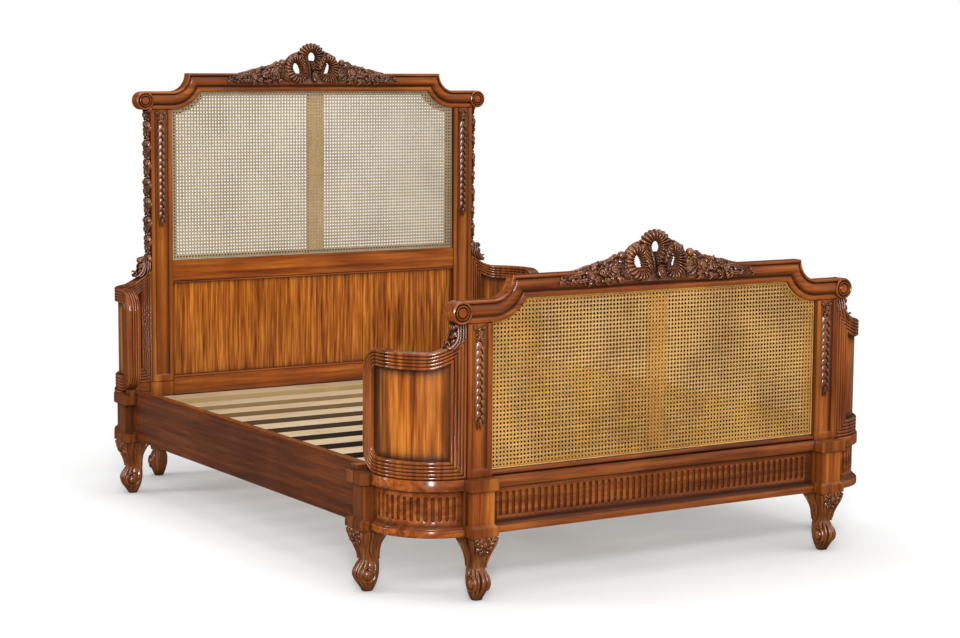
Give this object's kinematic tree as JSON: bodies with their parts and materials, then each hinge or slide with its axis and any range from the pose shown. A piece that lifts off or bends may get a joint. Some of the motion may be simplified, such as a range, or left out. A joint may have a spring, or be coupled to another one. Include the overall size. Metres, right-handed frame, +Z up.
{
  "type": "bed",
  "caption": "Carved hardwood double bed with cane-panelled head and foot boards, curved wings, fluted plinths and a slatted base.",
  "frame": {"origin": "on the floor below the middle of the bed, the bottom centre of its bounding box", "axes": "+X across the bed to its right, seen from the foot; +Y along the bed to the headboard; +Z up"},
  "size_m": [1.756, 2.211, 1.534],
  "materials": {
    "polished_mahogany": "high gloss polish",
    "dark_mahogany": "high gloss polish, dark in the grooves",
    "carved_mahogany": "high gloss polish, dark in the cuts",
    "striped_veneer": "high gloss polish on upright striped grain",
    "woven_cane": "satin woven cane",
    "bare_pine": "bare sawn softwood"
  },
  "bodies": {
    "root": {"foot_post_left": "polished_mahogany", "foot_pedestal_left": "polished_mahogany", "foot_end_block_left": "polished_mahogany", "foot_curved_plinth_left": "polished_mahogany", "foot_wing_frame_left": "dark_mahogany", "foot_wing_panel_left": "striped_veneer", "foot_post_leg_left": "carved_mahogany", "foot_end_leg_left": "carved_mahogany", "foot_post_right": "polished_mahogany", "foot_pedestal_right": "polished_mahogany", "foot_end_block_right": "polished_mahogany", "foot_curved_plinth_right": "polished_mahogany", "foot_wing_frame_right": "dark_mahogany", "foot_wing_panel_right": "striped_veneer", "foot_post_leg_right": "carved_mahogany", "foot_end_leg_right": "carved_mahogany", "foot_plinth": "polished_mahogany", "foot_crest_rail": "dark_mahogany", "foot_crest_carving": "carved_mahogany", "foot_cane_outer": "woven_cane", "foot_cane_inner": "woven_cane", "foot_centre_muntin": "polished_mahogany", "foot_bottom_rail": "polished_mahogany", "head_post_left": "polished_mahogany", "head_pedestal_left": "polished_mahogany", "head_end_block_left": "polished_mahogany", "head_curved_plinth_left": "polished_mahogany", "head_wing_frame_left": "dark_mahogany", "head_wing_panel_left": "striped_veneer", "head_post_leg_left": "carved_mahogany", "head_end_leg_left": "carved_mahogany", "head_post_right": "polished_mahogany", "head_pedestal_right": "polished_mahogany", "head_end_block_right": "polished_mahogany", "head_curved_plinth_right": "polished_mahogany", "head_wing_frame_right": "dark_mahogany", "head_wing_panel_right": "striped_veneer", "head_post_leg_right": "carved_mahogany", "head_end_leg_right": "carved_mahogany", "head_plinth": "polished_mahogany", "head_crest_rail": "dark_mahogany", "head_crest_carving": "carved_mahogany", "head_cane_outer": "woven_cane", "head_cane_inner": "woven_cane", "head_centre_muntin": "polished_mahogany", "head_bottom_rail": "polished_mahogany", "foot_wing_scroll_left": "carved_mahogany", "head_garland_left": "carved_mahogany", "side_rail_left": "dark_mahogany", "foot_wing_scroll_right": "carved_mahogany", "head_garland_right": "carved_mahogany", "side_rail_right": "dark_mahogany", "head_mid_rail": "polished_mahogany", "head_lower_panel": "striped_veneer", "ledger_left": "bare_pine", "ledger_right": "bare_pine", "ledger_head": "bare_pine", "ledger_foot": "bare_pine", "slatted_base": "bare_pine"}
  },
  "joints": []
}
